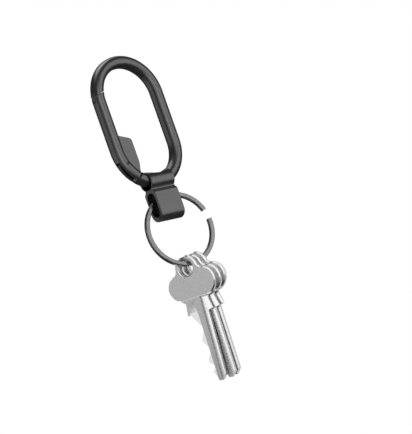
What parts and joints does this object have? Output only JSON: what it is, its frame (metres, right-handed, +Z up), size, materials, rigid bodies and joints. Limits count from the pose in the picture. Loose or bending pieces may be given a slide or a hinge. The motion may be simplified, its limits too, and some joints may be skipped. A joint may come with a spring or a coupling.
{
  "type": "key organiser",
  "caption": "Spring-gate carabiner with a swinging sleeve on its lower bar that carries a gapped key ring hung with keys.",
  "frame": {"origin": "where a belt loop or strap bears, at the middle of the inside of the carabiner's top", "axes": "+Z up along the carabiner, +X from the gate towards the solid spine, +Y from the front to the back"},
  "size_m": [0.0384, 0.0243, 0.1493],
  "materials": {
    "gunmetal": "matt dark grey coating on metal",
    "ring_steel": "dark grey coated steel wire",
    "pin_steel": "dark steel",
    "spring_steel": "bright spring wire",
    "guide_polymer": "black acetal",
    "key_nickel": "nickel-plated brass, satin faces and bright milled edges"
  },
  "bodies": {
    "carabiner": {"carabiner_frame": "gunmetal", "gate_spring": "spring_steel"},
    "gate": {"gate": "gunmetal", "gate_hinge_pin": "pin_steel"},
    "sleeve": {"ring_sleeve": "gunmetal", "ring_guide": "guide_polymer", "detent_ball": "spring_steel", "detent_spring": "spring_steel"},
    "ring": {"key_ring": "ring_steel"},
    "front_key": {"key_front": "key_nickel"},
    "middle_key": {"key_middle": "key_nickel"},
    "back_key": {"key_back": "key_nickel"}
  },
  "joints": [
    {"name": "gate_hinge", "type": "hinge", "parent": "carabiner", "child": "gate", "pos_m": [-0.01502, 0, -0.04298], "axis": [0, 1, 0], "range_deg": [0, 18], "stiffness_Nm_per_rad": 0.03, "springref_deg": -28.65, "deforming": ["gate_spring"]},
    {"name": "sleeve_swing", "type": "hinge", "parent": "carabiner", "child": "sleeve", "pos_m": [0, 0, -0.05229], "axis": [1, 0, 0], "range_deg": [-24, 24]},
    {"name": "ring_turn", "type": "hinge", "parent": "sleeve", "child": "ring", "pos_m": [0.00255, -0.00049, -0.07569], "axis": [-0.1908, -0.9816, 0], "range_deg": [0, 92]},
    {"name": "key_front_swing", "type": "hinge", "parent": "sleeve", "child": "front_key", "pos_m": [-0.00012, 0.00002, -0.0911], "axis": [0.9479, 0.3185, 0], "range_deg": [-18, 18]},
    {"name": "key_middle_swing", "type": "hinge", "parent": "sleeve", "child": "middle_key", "pos_m": [0.00265, -0.00051, -0.09134], "axis": [0.9479, 0.3185, 0], "range_deg": [-18, 18]},
    {"name": "key_back_swing", "type": "hinge", "parent": "sleeve", "child": "back_key", "pos_m": [0.00541, -0.00105, -0.09107], "axis": [0.9479, 0.3185, 0], "range_deg": [-18, 18]}
  ]
}
